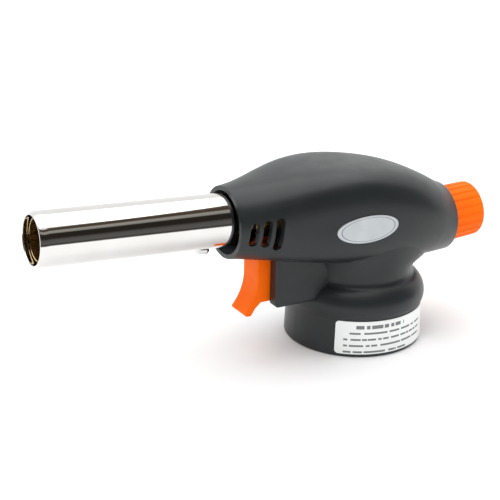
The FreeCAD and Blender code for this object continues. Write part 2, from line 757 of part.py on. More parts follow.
def cross_recess(reach, half):
    """The outline of a cross-head recess."""
    return [
        (reach, f"0 - {half}"), (reach, half), (half, half), (half, reach),
        (f"0 - {half}", reach), (f"0 - {half}", half), (f"0 - {reach}", half),
        (f"0 - {reach}", f"0 - {half}"), (f"0 - {half}", f"0 - {half}"),
        (f"0 - {half}", f"0 - {reach}"), (half, f"0 - {reach}"), (half, f"0 - {half}"),
    ]


def tube_screw():
    """Pan-head screw under the tube, which pins the burner head in it."""
    body = turned("tube_screw", [
        ("0", "0 - tube_screw_tip"),
        ("0", "0 - tube_radius - tube_screw_head_height"),
        ("tube_screw_head", "0 - tube_radius - tube_screw_head_height"),
        ("tube_screw_head", "0 - tube_radius"),
        ("tube_screw_radius", "0 - tube_radius"),
        ("tube_screw_radius", "0 - tube_screw_tip"),
    ], axis="V_Axis")
    edge = ring_at("0 - tube_radius - tube_screw_head_height", "tube_screw_head", "z")
    rounded(body, "tube_screw_edge", "tube_screw_head_height / 2", edge)
    pocket(body, "tube_screw_recess", "XY_Plane", [], "tube_screw_head_height / 2",
           start="0 - tube_radius - tube_screw_head_height",
           outlines=[cross_recess("tube_screw_radius", "tube_screw_radius / 4")])
    keep("tube_screw", on_burner(body, "tube_screw_place"))


# ---------------------------------------------------------------- gas valve and knob

def valve_body():
    """Cast body: foot, column, needle barrel and pipe boss, with the gas ways bored through."""
    foot = rod("foot", "foot_radius", "foot_top - foot_bottom", ("0", "0", "foot_bottom"), (0, 0, 1))
    column = rod("column", "column_radius", "valve_height - foot_bottom",
                 ("0", "0", "foot_bottom"), (0, 0, 1))
    barrel = on_valve(turned("barrel", [
        ("barrel_back", "barrel_radius"),
        ("barrel_back", "0"),
        ("pipe_boss_front", "0"),
        ("pipe_boss_front", "pipe_boss_radius"),
        ("barrel_front", "pipe_boss_radius"),
        ("barrel_front", "barrel_radius"),
    ]))
    ways = on_valve(turned("valve_ways", [
        ("barrel_back - 1", "gland_bore"),
        ("barrel_back - 1", "0"),
        ("pipe_boss_front + 1", "0"),
        ("pipe_boss_front + 1", f"{PIPE_RADIUS}"),
        ("barrel_front", f"{PIPE_RADIUS}"),
        ("barrel_front", "gas_way"),
        ("seat_back + 1", "gas_way"),
        ("seat_back", "spindle_bore"),
        ("gland_bore_end", "spindle_bore"),
        ("gland_bore_end", "gland_bore"),
    ]))
    stem_seat = rod("stem_seat", "stem_radius", "stem_top - foot_bottom + 1",
                    ("0", "0", "foot_bottom - 1"), (0, 0, 1))
    riser = rod("riser", "gas_way", "valve_height - stem_top", ("0", "0", "stem_top"), (0, 0, 1))
    taps = [rod(f"foot_tap_{number}", "foot_screw_radius", "foot_top - foot_bottom + 1",
                (spot.x, spot.y, "foot_bottom - 1"), (0, 0, 1))
            for number, spot in enumerate(foot_screw_spots(), start=1)]
    solid = fused("valve_solid", [foot, column, barrel])
    hollow = fused("valve_hollow", [ways, stem_seat, riser] + taps)
    keep("valve_body", cut("valve_casting", solid, hollow))


def foot_screw_spots():
    """Where the three screws through the bayonet plate are."""
    ring = value("foot_screw_ring")
    return [Vector(ring * math.cos(math.radians(angle)), ring * math.sin(math.radians(angle)), 0)
            for angle in (0, 120, 240)]


def needle_spindle():
    body = turned("needle_spindle", [
        ("spindle_back", "knob_screw_radius"),
        ("spindle_back + spindle_tap_depth", "knob_screw_radius"),
        ("spindle_back + spindle_tap_depth", "0"),
        ("needle_tip", "0"),
        ("seat_back - 0.4", "needle_radius"),
        ("needle_back", "needle_radius"),
        ("needle_back", "spindle_radius"),
        ("spindle_back", "spindle_radius"),
    ])
    keep("needle_spindle", on_valve(body))


def gland():
    """The gland nut, and the ring that it squeezes round the spindle."""
    body = turned("gland_nut", [
        ("barrel_back", "gland_radius"),
        ("barrel_back", "spindle_bore"),
        ("gland_end", "spindle_bore"),
        ("gland_end", "gland_radius"),
    ])
    padded("gland_hexagon", "YZ_Plane", [hexagon("gland_hex")], "gland_back", "barrel_back",
           [("0", "0", "spindle_bore")], body=body)
    keep("gland_nut", on_valve(body))
    ring = document.addObject("Part::Torus", "spindle_ring")
    ring.setExpression("Radius1", bound("ring_radius"))
    ring.setExpression("Radius2", bound("ring_section"))
    on_valve(ring, "ring_place")
    ring.setExpression("Placement.Rotation.Angle", bound("valve_pitch + 90"))
    keep("spindle_o_ring", ring)


def knob():
    """Fluted control knob, with a hub on the spindle and a screw recess in its end."""
    body = turned("knob", [
        ("knob_front", "knob_hub_radius"),
        ("knob_front", "spindle_radius"),
        ("knob_recess_floor", "spindle_radius"),
        ("knob_recess_floor", "knob_recess_radius"),
        ("knob_back", "knob_recess_radius"),
        ("knob_back", "knob_end_radius"),
        ("knob_skirt_front", "knob_root_radius"),
        ("knob_skirt_front", "knob_hub_radius"),
    ])
    rounded(body, "knob_end_edge", "knob_edge_round", ring_at("knob_back", "knob_end_radius"))
    flute = pocket(body, "flute", "YZ_Plane", [("0", "flute_ring", "flute_radius")],
                   "knob_skirt_front - knob_back + 2", start="knob_back - 1")
    repeat(body, flute, "X_Axis", int(value("flute_count")))
    keep("knob", on_valve(body))


def knob_fixings():
    washer = turned("knob_washer", [
        ("gland_back", "washer_radius"),
        ("gland_back", "washer_bore"),
        ("washer_back", "washer_bore"),
        ("washer_back", "washer_radius"),
    ])
    keep("knob_washer", on_valve(washer))
    floor = "knob_recess_floor"
    screw = turned("knob_screw", [
        (f"{floor} - knob_screw_head_height", "knob_screw_head"),
        (f"{floor} - knob_screw_head_height", "0"),
        ("spindle_back + spindle_tap_depth - 1", "0"),
        ("spindle_back + spindle_tap_depth - 1", "knob_screw_radius"),
        (floor, "knob_screw_radius"),
        (floor, "knob_screw_head"),
    ])
    pocket(screw, "knob_screw_recess", "YZ_Plane", [], "knob_screw_head_height / 2",
           start=f"{floor} - knob_screw_head_height",
           outlines=[cross_recess("knob_screw_radius", "knob_screw_radius / 4")])
    keep("knob_screw", on_valve(screw))


def gas_pipe():
    """Copper pipe that climbs in an S from the valve to the jet."""
    low = math.radians(value("valve_pitch"))
    high = math.radians(value("tube_pitch"))
    start = Vector(value("barrel_front") * math.cos(low), 0,
                   value("valve_height") - value("barrel_front") * math.sin(low))
    end = Vector(value("pipe_socket_front") * math.cos(high), 0,
                 value("tube_height") + value("pipe_socket_front") * math.sin(high))
    out = Vector(math.cos(low), 0, -math.sin(low))
    back = Vector(-math.cos(high), 0, -math.sin(high))
    corners = [start, start.add(out.multiply(PIPE_RUN)), end.add(back.multiply(PIPE_RUN)), end]
    path = bent_path(corners, PIPE_BEND)
    disc = Part.Face(Part.Wire([Part.Circle(start, out, PIPE_RADIUS).toShape()]))
    bore = Part.Face(Part.Wire([Part.Circle(start, out, PIPE_RADIUS / 2).toShape()]))
    solid = path.makePipe(disc).cut(path.makePipe(bore))
    keep("gas_pipe", plain("gas_pipe", solid))


def bent_path(corners, radius):
    """Straight runs through the corners, joined by tangent arcs of one radius."""
    edges = []
    last = corners[0]
    for before, corner, after in zip(corners, corners[1:], corners[2:]):
        inward = before.sub(corner).normalize()
        outward = after.sub(corner).normalize()
        half = inward.getAngle(outward) / 2
        trim = radius / math.tan(half)
        enter = corner.add(Vector(inward).multiply(trim))
        leave = corner.add(Vector(outward).multiply(trim))
        middle = Vector(inward).add(outward).normalize()
        crown = corner.add(middle.multiply(radius / math.sin(half) - radius))
        edges.append(Part.LineSegment(last, enter).toShape())
        edges.append(Part.Arc(enter, crown, leave).toShape())
        last = leave
    edges.append(Part.LineSegment(last, corners[-1]).toShape())
    return Part.Wire(edges)


# ---------------------------------------------------------------- cartridge fitting

def inlet_stem():
    body = turned("inlet_stem", [
        ("stem_bore", "stem_top"),
        ("stem_bore", "stem_bottom"),
        ("stem_tip_radius", "stem_bottom"),
        ("stem_tip_radius", "stem_shoulder"),
        ("stem_radius", "stem_shoulder"),
        ("stem_radius", "stem_top"),
    ], axis="V_Axis")
    keep("inlet_stem", body)
    ring = document.addObject("Part::Torus", "stem_ring")
    ring.setExpression("Radius1", bound("stem_radius + ring_section"))
    ring.setExpression("Radius2", bound("ring_section"))
    ring.setExpression("Placement.Base.z", bound("stem_ring_height"))
    keep("stem_o_ring", ring)


def cartridge_gasket():
    body = turned("cartridge_gasket", [
        ("gasket_bore", "plate_bottom"),
        ("gasket_bore", "gasket_bottom"),
        ("gasket_radius", "gasket_bottom"),
        ("gasket_radius", "plate_bottom"),
    ], axis="V_Axis")
    keep("cartridge_gasket", body)


def bayonet_plate():
    """Pressed steel plate with three hooked claws that hold the cartridge's collar."""
    body = turned("bayonet_plate", [
        ("plate_hole", "plate_bottom + plate_thick"),
        ("plate_hole", "plate_bottom"),
        ("plate_radius", "plate_bottom"),
        ("plate_radius", "plate_bottom + plate_thick"),
    ], axis="V_Axis")
    claw = [
        ("0 - claw_outer", "plate_bottom"),
        ("0 - claw_outer", "claw_bottom"),
        ("0 - claw_inner", "claw_bottom"),
        ("0 - claw_inner", "claw_bottom + claw_thick"),
        ("claw_thick - claw_outer", "claw_bottom + claw_thick"),
        ("claw_thick - claw_outer", "plate_bottom"),
    ]
    padded("claw", "XZ_Plane", [claw], "0 - claw_half", "claw_half", body=body)
    repeat(body, body.Tip, "Z_Axis", 3)
    clear = "foot_screw_radius + 0.1"
    holes = [(f"{spot.x}", f"{spot.y}", clear) for spot in foot_screw_spots()]
    pocket(body, "plate_screw_holes", "XY_Plane", holes, "plate_thick + 2",
           start="plate_bottom - 1")
    keep("bayonet_plate", body)


def plate_screws():
    screws = []
    for number, spot in enumerate(foot_screw_spots(), start=1):
        head = rod(f"plate_screw_head_{number}", "foot_screw_head", "foot_screw_head_height",
                   (spot.x, spot.y, "plate_bottom"), (0, 0, -1))
        shank = rod(f"plate_screw_shank_{number}", "foot_screw_radius", "foot_top - plate_bottom",
                    (spot.x, spot.y, "plate_bottom"), (0, 0, 1))
        screws.append(fused(f"plate_screw_{number}", [head, shank]))
    group = document.addObject("Part::Compound", "plate_screws")
    group.Links = screws
    keep("plate_screws", group)


# ---------------------------------------------------------------- igniter and trigger

def lifted(thing, height):
    thing.setExpression("Placement.Base.z", bound(height))
    return thing


def igniter():
    """Piezo case, the plunger in its bore and the spring that pushes the plunger out."""
    case = turned("piezo_case", [
        ("piezo_back", "piezo_radius"),
        ("piezo_back", "0"),
        ("piezo_floor", "0"),
        ("piezo_floor", "piezo_bore"),
        ("piezo_front", "piezo_bore"),
        ("piezo_front", "piezo_radius"),
    ])
    keep("piezo_case", lifted(case, "piezo_height"))
    plunger = turned("piezo_plunger", [
        ("plunger_back", "plunger_radius"),
        ("plunger_back", "plunger_bore"),
        ("plunger_floor", "plunger_bore"),
        ("plunger_floor", "0"),
        ("plunger_front", "0"),
        ("plunger_front", "plunger_radius"),
    ])
    keep("piezo_plunger", lifted(plunger, "piezo_height"))

    room = value("plunger_floor - piezo_floor - coil_wire - coil_end_gap * 2")
    helix = Part.makeHelix(value("coil_pitch"), room, value("coil_radius"))
    start = Vector(value("coil_radius"), 0, 0)
    wire = Part.Wire([Part.Circle(start, Vector(0, 1, 0), value("coil_wire / 2")).toShape()])
    coil = Part.Wire(helix.Edges).makePipeShell([wire], True, True)
    spring = plain("piezo_spring", coil)
    inset = value("piezo_floor + coil_end_gap + coil_wire / 2")
    spring.Placement = Placement(
        Vector(inset, 0, value("piezo_height")), Rotation(Vector(0, 1, 0), 90))
    keep("piezo_spring", spring)


def ignition_lead():
    """Insulated wire from the piezo case up past the valve to the electrode."""
    pitch = math.radians(value("tube_pitch"))
    along = value("electrode_back - wire_gap")
    lift = value("electrode_offset")
    end = Vector(along * math.cos(pitch) - lift * math.sin(pitch), 0,
                 value("tube_height") + along * math.sin(pitch) + lift * math.cos(pitch))
    back = Vector(-math.cos(pitch), 0, -math.sin(pitch))
    start = Vector(value("wire_place"), 0, value("piezo_height + piezo_radius + wire_gap"))
    side, slant = value("wire_side"), value("wire_slant")
    corners = [
        start,
        start.add(Vector(0, 0, value("wire_rise"))),
        Vector(start.x - slant, side, start.z + value("wire_climb")),
        Vector(start.x + slant, side, end.z - value("wire_drop")),
        end.add(back.multiply(value("wire_run"))),
        end,
    ]
    path = bent_path(corners, value("wire_bend"))
    circle = Part.Circle(start, Vector(0, 0, 1), value("wire_radius")).toShape()
    disc = Part.Face(Part.Wire([circle]))
    keep("ignition_lead", plain("ignition_lead", path.makePipe(disc)))


def trigger():
    """Orange trigger: a finger hook outside, a flat body in the block and a guide above the floor."""
    outline = [
        ("trigger_back", "guide_top"),
        ("trigger_back", "trigger_bottom"),
        ("hook_back - 1", "trigger_bottom"),
        ("hook_back + 0.6", "hook_height - 0.6"),
        ("tip_back", "tip_bottom"),
        ("tip_front - tip_round", "tip_bottom"),
        ("tip_front", "tip_height", "tip_round * 1.2", 1),
        ("trigger_front", "finger_start", "finger_arc", -1),
        ("trigger_front", "guide_bottom"),
        ("guide_front", "guide_bottom"),
        ("guide_front", "guide_top"),
    ]
    body = padded("trigger_blade", "XZ_Plane", [outline], "0 - trigger_half", "trigger_half")

    def wanted(edge):
        spot = edge.CenterOfMass
        side = abs(abs(spot.y) - value("trigger_half")) < 1e-3
        outer = spot.x > value("hook_back") and spot.z < value("guide_bottom") - 1
        return side and outer
    rounded(body, "trigger_edges", "tip_round / 2", wanted)
    guide = box("trigger_guide", ("guide_back", "0 - guide_half", "guide_bottom"),
                ("guide_front", "guide_half", "guide_top"))
    keep("trigger", fused("trigger_whole", [body, guide]))


# ---------------------------------------------------------------- trim

def badge_plate():
    """Oval plate that lies in the left shell's side and stands a little proud."""
    oval = Part.Ellipse(
        Vector(0, 0, 0), value("badge_half_length"), value("badge_half_height")).toShape()
    face = Part.Face(Part.Wire([oval]))
    face.Placement = Placement(
        Vector(value("badge_place"), 0, value("badge_height")), Rotation(Vector(1, 0, 0), 90))
    column = face.extrude(Vector(0, value("skirt_radius") * 2, 0))
    raised = [housing_section(*station, -value("badge_thick") / 2) for station in STATIONS]
    lifted_hull = Part.makeLoft(raised, True, False).common(column)
    plate = max(lifted_hull.cut(parts["left_shell"].Shape).Solids, key=lambda piece: piece.CenterOfMass.y)
    keep("badge_plate", plain("badge_plate", plate))


def caution_label():
    """Blank label stuck round the skirt, which tapers a little towards its top."""
    start, end = value("label_start"), value("label_end")
    low, high, thick = value("label_low"), value("label_high"), value("label_thick")
    taper = value("(skirt_foot - skirt_radius) / skirt_top")
    radii = [value("skirt_foot") - taper * height for height in (low, high)]
    base, up = Vector(0, 0, low), Vector(0, 0, 1)
    outer = Part.makeCone(radii[0] + thick, radii[1] + thick, high - low, base, up, end - start)
    inner = Part.makeCone(radii[0], radii[1], high - low, base, up, 360)
    band = outer.cut(inner)
    band.rotate(Vector(0, 0, 0), up, start)
    keep("caution_label", plain("caution_label", band))


def check_and_write():
    """Stop if any object failed; otherwise write one STEP file for each piece."""
    document.recompute()
    for item in document.Objects:
        if {"Invalid", "Error"} & set(item.State):
            raise RuntimeError(f"{item.Name} is {item.State}")
    for node, thing in parts.items():
        shape = thing.Shape
        if shape.isNull() or not shape.isValid() or not shape.Solids:
            raise RuntimeError(f"{node} has no valid shape")
    os.makedirs("parts", exist_ok=True)
    for node, thing in parts.items():
        thing.Shape.exportStep(os.path.join("parts", node + ".step"))
        size = thing.Shape.BoundBox
        print(f"{node:22s} {len(thing.Shape.Solids)} solids {thing.Shape.Volume:10.2f} mm3 "
              f"x {size.XMin:7.2f} {size.XMax:7.2f} y {size.YMin:7.2f} {size.YMax:7.2f} "
              f"z {size.ZMin:7.2f} {size.ZMax:7.2f}")


housing()
shell_screws()
flame_tube()
burner_head()
burner_sleeve()
flame_holder()
jet()
electrode()
tube_screw()
valve_body()
needle_spindle()
gland()
knob()
knob_fixings()
gas_pipe()
inlet_stem()
cartridge_gasket()
bayonet_plate()
plate_screws()
igniter()
ignition_lead()
trigger()
badge_plate()
caution_label()
check_and_write()
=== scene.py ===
import json
import math

import bmesh
import bpy
from mathutils import Matrix, Vector


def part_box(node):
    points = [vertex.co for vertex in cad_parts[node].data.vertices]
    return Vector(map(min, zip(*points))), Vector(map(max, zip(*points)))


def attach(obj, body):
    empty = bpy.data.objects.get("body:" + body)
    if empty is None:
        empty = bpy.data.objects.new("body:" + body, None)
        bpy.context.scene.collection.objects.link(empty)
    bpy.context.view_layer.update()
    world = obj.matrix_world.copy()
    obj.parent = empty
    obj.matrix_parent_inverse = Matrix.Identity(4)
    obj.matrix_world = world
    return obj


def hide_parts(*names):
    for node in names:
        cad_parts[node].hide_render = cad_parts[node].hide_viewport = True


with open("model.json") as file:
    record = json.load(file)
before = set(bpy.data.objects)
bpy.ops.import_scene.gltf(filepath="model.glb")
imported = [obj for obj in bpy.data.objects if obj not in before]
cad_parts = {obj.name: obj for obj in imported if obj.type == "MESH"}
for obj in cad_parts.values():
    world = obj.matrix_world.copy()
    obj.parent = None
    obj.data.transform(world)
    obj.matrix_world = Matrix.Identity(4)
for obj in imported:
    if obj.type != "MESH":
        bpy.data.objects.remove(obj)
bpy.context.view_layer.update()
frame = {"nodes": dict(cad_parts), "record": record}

# Lengths are metres unless a comment says otherwise, in the frame's axes: +X is the way the
# flame points, +Y is the torch's left and +Z is up.
NODES = frame["nodes"]
SLOT_OF = {row["node"]: row["material_slot"] for row in frame["record"]["subparts"]}


# ---------------------------------------------------------------- node helpers

def link(tree, source, target):
    """Joins two sockets, each given as (node, socket name)."""
    tree.links.new(source[0].outputs[source[1]], target[0].inputs[target[1]])


def noise(tree, place, scale, detail=3.0, roughness=0.5):
    """A noise texture over the piece's own coordinates; scale is in turns per metre."""
    node = tree.nodes.new("ShaderNodeTexNoise")
    node.inputs["Scale"].default_value = scale
    node.inputs["Detail"].default_value = detail
    node.inputs["Roughness"].default_value = roughness
    link(tree, (place, "Object"), (node, "Vector"))
    return node


def ramp(tree, source, stops):
    """A colour ramp from a value socket; stops are (position, colour)."""
    node = tree.nodes.new("ShaderNodeValToRGB")
    elements = node.color_ramp.elements
    while len(elements) < len(stops):
        elements.new(0.5)
    for element, (position, colour) in zip(elements, stops):
        element.position = position
        element.color = (*colour, 1.0)
    link(tree, source, (node, "Fac"))
    return node


def spread(tree, source, low, high):
    """Maps a noise value, which stays mostly between 0.3 and 0.7, on to low - high."""
    node = tree.nodes.new("ShaderNodeMapRange")
    node.inputs["From Min"].default_value = 0.3
    node.inputs["From Max"].default_value = 0.7
    node.inputs["To Min"].default_value = low
    node.inputs["To Max"].default_value = high
    link(tree, source, (node, "Value"))
    return node


def math_node(tree, operation, first, second=None):
    """A maths node; each input is a number or a (node, socket) pair."""
    node = tree.nodes.new("ShaderNodeMath")
    node.operation = operation
    for index, value in enumerate((first, second)):
        if value is None:
            continue
        if isinstance(value, tuple):
            link(tree, value, (node, index))
        else:
            node.inputs[index].default_value = value
    return (node, "Value")


def within(tree, value, low, high):
    """1 where a value lies between two limits, and 0 elsewhere."""
    above = math_node(tree, "GREATER_THAN", value, low)
    below = math_node(tree, "LESS_THAN", value, high)
    return math_node(tree, "MULTIPLY", above, below)


def root_of_squares(tree, first, second):
    """The length of a flat vector, from its two parts."""
    squares = [math_node(tree, "MULTIPLY", part, part) for part in (first, second)]
    return math_node(tree, "SQRT", math_node(tree, "ADD", *squares))


def over_colour(tree, shader, mask, colour):
    """Lays a second colour over the base colour where the mask is 1."""
    mix = tree.nodes.new("ShaderNodeMix")
    mix.data_type = "RGBA"
    before = shader.inputs["Base Color"].links[0].from_socket
    tree.links.new(before, mix.inputs["A"])
    mix.inputs["B"].default_value = (*colour, 1.0)
    link(tree, mask, (mix, "Factor"))
    link(tree, (mix, "Result"), (shader, "Base Color"))


def place_axes(tree):
    """The three coordinates of a point of the piece."""
    place = tree.nodes.new("ShaderNodeTexCoord")
    split = tree.nodes.new("ShaderNodeSeparateXYZ")
    link(tree, (place, "Object"), (split, "Vector"))
    return (split, "X"), (split, "Y"), (split, "Z")


# ---------------------------------------------------------------- materials

# The noise values at which a patch has its full dark colour and its full light one.
PATCH_DARK = 0.32
PATCH_LIGHT = 0.68
# How much finer the patches in the roughness are than the patches in the colour.
WEAR_SCALE = 3.3


def surface(name, dark, light, rough, patch=90.0, grain=2600.0, depth=0.00002, strength=0.3,
            **sockets):
    """A material with patchy colour and roughness and a fine grain.

    Its colour runs from dark to light and its roughness over rough, which is (low, high). The
    patch and grain scales are in turns per metre. Other sockets of the shader go by their names.
    """
    mat = bpy.data.materials.new(name)
    mat.use_nodes = True
    tree = mat.node_tree
    shader = tree.nodes["Principled BSDF"]
    place = tree.nodes.new("ShaderNodeTexCoord")
    patches = noise(tree, place, patch)
    colour = ramp(tree, (patches, "Fac"), [(PATCH_DARK, dark), (PATCH_LIGHT, light)])
    link(tree, (colour, "Color"), (shader, "Base Color"))
    wear = noise(tree, place, patch * WEAR_SCALE, detail=4.0)
    gloss = spread(tree, (wear, "Fac"), *rough)
    link(tree, (gloss, "Result"), (shader, "Roughness"))
    fine = noise(tree, place, grain, detail=2.0)
    bump = tree.nodes.new("ShaderNodeBump")
    bump.inputs["Strength"].default_value = strength
    bump.inputs["Distance"].default_value = depth
    link(tree, (fine, "Fac"), (bump, "Height"))
    link(tree, (bump, "Normal"), (shader, "Normal"))
    for socket, value in sockets.items():
        shader.inputs[socket.replace("_", " ")].default_value = value
    return mat


def housing_plastic():
    """Satin charcoal plastic, with a dark hairline where the two half shells meet."""
    seam_half_width = 0.00020
    mat = surface("charcoal_plastic", (0.0125, 0.0155, 0.0168), (0.0160, 0.0195, 0.0208),
                  (0.34, 0.41), patch=55, grain=2300, depth=0.00004, strength=0.45,
                  Specular_IOR_Level=0.40)
    tree = mat.node_tree
    shader = tree.nodes["Principled BSDF"]
    _, across, _ = place_axes(tree)
    off_middle = math_node(tree, "ABSOLUTE", across)
    seam = math_node(tree, "LESS_THAN", off_middle, seam_half_width)
    over_colour(tree, shader, seam, (0.001, 0.001, 0.001))
    return mat


# Grey bars on the label, top to bottom: where each starts and ends round the skirt, in
# millimetres from the front of the part, and its thickness in metres.
LABEL_BARS = [
    (24.0, 43.0, 0.0013), (22.5, 54.0, 0.0007), (20.5, 54.5, 0.0007), (20.5, 53.0, 0.0007),
    (20.5, 44.0, 0.0007),
]
# The skirt's radius that those distances are counted on, in millimetres.
LABEL_BARS_RADIUS = 24.0
# How far the first bar's middle is below the label's top, and the step to the next bar, as
# shares of the label's height.
FIRST_BAR = 0.17
BAR_STEP = 0.19
# The bars are broken into word-like pieces by a noise: its scale in turns per millimetre,
# the level above which there is ink, and how far each bar's noise is shifted from the last.
WORD_SCALE = 0.55
WORD_LEVEL = 0.40
WORD_SHIFT = 37.0


def label_bar(tree, row, run, height):
    """1 on one of the label's bars, and 0 elsewhere."""
    start, end, thick = LABEL_BARS[row]
    low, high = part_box("caution_label")
    middle = high.z - (high.z - low.z) * (FIRST_BAR + BAR_STEP * row)
    bar = within(tree, height, middle - thick / 2, middle + thick / 2)
    bar = math_node(tree, "MULTIPLY", bar, within(tree, run, start, end))
    words = tree.nodes.new("ShaderNodeTexNoise")
    words.noise_dimensions = "1D"
    words.inputs["Scale"].default_value = WORD_SCALE
    words.inputs["Detail"].default_value = 1.0
    link(tree, math_node(tree, "ADD", run, WORD_SHIFT * (row + 1)), (words, "W"))
    inked = math_node(tree, "GREATER_THAN", (words, "Fac"), WORD_LEVEL)
    return math_node(tree, "MULTIPLY", bar, inked)


def label_paper():
    """White label with plain grey bars in place of its print."""
    mat = surface("label_white", (0.82, 0.84, 0.83), (0.86, 0.88, 0.87), (0.30, 0.38),
                  patch=80, grain=3400, depth=0.00001, strength=0.15)
    tree = mat.node_tree
    shader = tree.nodes["Principled BSDF"]
    along, across, height = place_axes(tree)
    turn = math_node(tree, "ARCTAN2", across, along)
    run = math_node(tree, "MULTIPLY", turn, LABEL_BARS_RADIUS)
    marks = label_bar(tree, 0, run, height)
    for row in range(1, len(LABEL_BARS)):
        marks = math_node(tree, "MAXIMUM", marks, label_bar(tree, row, run, height))
    over_colour(tree, shader, marks, (0.16, 0.17, 0.17))
    return mat


def badge_metal():
    """Silvery oval plate with one fine line round it and no mark."""
    line_inside, line_outside = 0.86, 0.885
    mat = surface("silver_badge", (0.46, 0.49, 0.51), (0.54, 0.57, 0.59), (0.30, 0.36),
                  patch=120, grain=5200, depth=0.00001, strength=0.35, Metallic=0.35)
    tree = mat.node_tree
    shader = tree.nodes["Principled BSDF"]
    along, _, height = place_axes(tree)
    low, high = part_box("badge_plate")
    shares = []
    for value, start, end in ((along, low.x, high.x), (height, low.z, high.z)):
        offset = math_node(tree, "SUBTRACT", value, (start + end) / 2)
        shares.append(math_node(tree, "DIVIDE", offset, (end - start) / 2))
    line = within(tree, root_of_squares(tree, *shares), line_inside, line_outside)
    over_colour(tree, shader, line, (0.10, 0.11, 0.12))
    return mat


def mouth_frame():
    """Centre of the flame tube's mouth, and the way it faces."""
    mouth = next(row for row in frame["record"]["mounts"] if row["name"] == "tube_mouth")
    return Vector(mouth["pos_m"]), Vector(mouth["axis"]).normalized()


def tube_chrome():
    """Bright chrome, with painted shade on the mouth's inside and where the housing hides it."""
    hidden_run, inside_radius, unshaded_run = 0.0065, 0.00845, 0.0030
    mat = surface("chrome_plate", (0.70, 0.69, 0.67), (0.74, 0.735, 0.72), (0.045, 0.075),
                  patch=70, grain=500, depth=0.000003, strength=0.10, Metallic=1.0)
    tree = mat.node_tree
    shader = tree.nodes["Principled BSDF"]
    along, across, height = place_axes(tree)
    low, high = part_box("flame_tube")
    # Painted shade: the tube is darkened brown where it runs inside the housing.
    painted_housing_shade = math_node(tree, "LESS_THAN", along, low.x + hidden_run)
    over_colour(tree, shader, painted_housing_shade, (0.055, 0.045, 0.035))
    mouth, forward = mouth_frame()
    slope = forward.z / forward.x
    climb = math_node(tree, "MULTIPLY", along, slope)
    axis_height = math_node(tree, "ADD", climb, mouth.z - mouth.x * slope)
    rise = math_node(tree, "SUBTRACT", height, axis_height)
    radius = root_of_squares(tree, rise, across)
    # Painted shade: the tube's inner wall behind the lip is darkened brown.
    inside = math_node(tree, "LESS_THAN", radius, inside_radius)
    behind_lip = math_node(tree, "LESS_THAN", along, high.x - unshaded_run)
    painted_mouth_shade = math_node(tree, "MULTIPLY", inside, behind_lip)
    over_colour(tree, shader, painted_mouth_shade, (0.10, 0.065, 0.04))
    return mat


FINISHES = {
    "charcoal_plastic": housing_plastic(),
    "orange_plastic": surface("orange_plastic", (0.96, 0.130, 0.0), (1.0, 0.155, 0.0),
                              (0.44, 0.52), patch=120, grain=1800, depth=0.00002, strength=0.25,
                              Specular_IOR_Level=0.10),
    "chrome_plate": tube_chrome(),
    "brass_metal": surface("brass_metal", (0.42, 0.26, 0.08), (0.62, 0.42, 0.16), (0.20, 0.34),
                           patch=200, grain=3000, Metallic=1.0),
    "zinc_casting": surface("zinc_casting", (0.36, 0.36, 0.37), (0.50, 0.50, 0.50), (0.42, 0.58),
                            patch=240, grain=2200, depth=0.00006, strength=0.5, Metallic=1.0),
    "steel_plate": surface("steel_plate", (0.52, 0.52, 0.52), (0.64, 0.64, 0.63), (0.26, 0.38),
                           patch=120, grain=2600, Metallic=1.0),
    "steel_screw": surface("steel_screw", (0.60, 0.60, 0.59), (0.70, 0.70, 0.69), (0.18, 0.28),
                           patch=300, grain=2600, Metallic=1.0),
    "stainless": surface("stainless", (0.40, 0.33, 0.28), (0.58, 0.54, 0.50), (0.28, 0.42),
                         patch=260, grain=2400, Metallic=1.0),
    "black_rubber": surface("black_rubber", (0.012, 0.012, 0.012), (0.018, 0.018, 0.018),
                            (0.60, 0.74), patch=200, grain=3000, depth=0.00004, strength=0.5),
    "ceramic_white": surface("ceramic_white", (0.74, 0.72, 0.67), (0.82, 0.80, 0.76),
                             (0.20, 0.30), patch=150, grain=2000),
    "piezo_plastic": surface("piezo_plastic", (0.03, 0.03, 0.032), (0.04, 0.04, 0.042),
                             (0.34, 0.44), patch=120, grain=2200),
    "white_nylon": surface("white_nylon", (0.74, 0.73, 0.70), (0.80, 0.79, 0.76), (0.36, 0.46),
                           patch=120, grain=2200),
    "lead_insulation": surface("lead_insulation", (0.02, 0.02, 0.02), (0.028, 0.028, 0.028),
                               (0.38, 0.48), patch=160, grain=2600),
    "silver_badge": badge_metal(),
    "label_white": label_paper(),
}

for node_name, node in NODES.items():
    chosen = FINISHES[SLOT_OF[node_name]]
    if not node.material_slots:
        node.data.materials.append(chosen)
    for material_slot in node.material_slots:
        material_slot.material = chosen


# ------------------------------------------------------------------ pieces

def add_object(name, mesh):
    """Puts a mesh into the scene as an object."""
    made = bpy.data.objects.new(name, mesh)
    bpy.context.scene.collection.objects.link(made)
    return made


def mesh_from(name, shape):
    """Turns a bmesh into a mesh."""
    mesh = bpy.data.meshes.new(name)
    shape.to_mesh(mesh)
    shape.free()
    return mesh


def smooth_piece(name, shape):
    """Turns a closed bmesh into an object, smooth except at real edges."""
    real_edge = math.radians(35)
    bmesh.ops.recalc_face_normals(shape, faces=shape.faces)
    mesh = mesh_from(name, shape)
    mesh.shade_smooth()
    mesh.set_sharp_from_angle(angle=real_edge)
    return add_object(name, mesh)


def stand_in(piece, slot, node):
    """Gives a piece of the root body its finish, in place of a CAD node."""
    piece.data.materials.append(FINISHES[slot])
    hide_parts(node)
    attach(piece, "root")


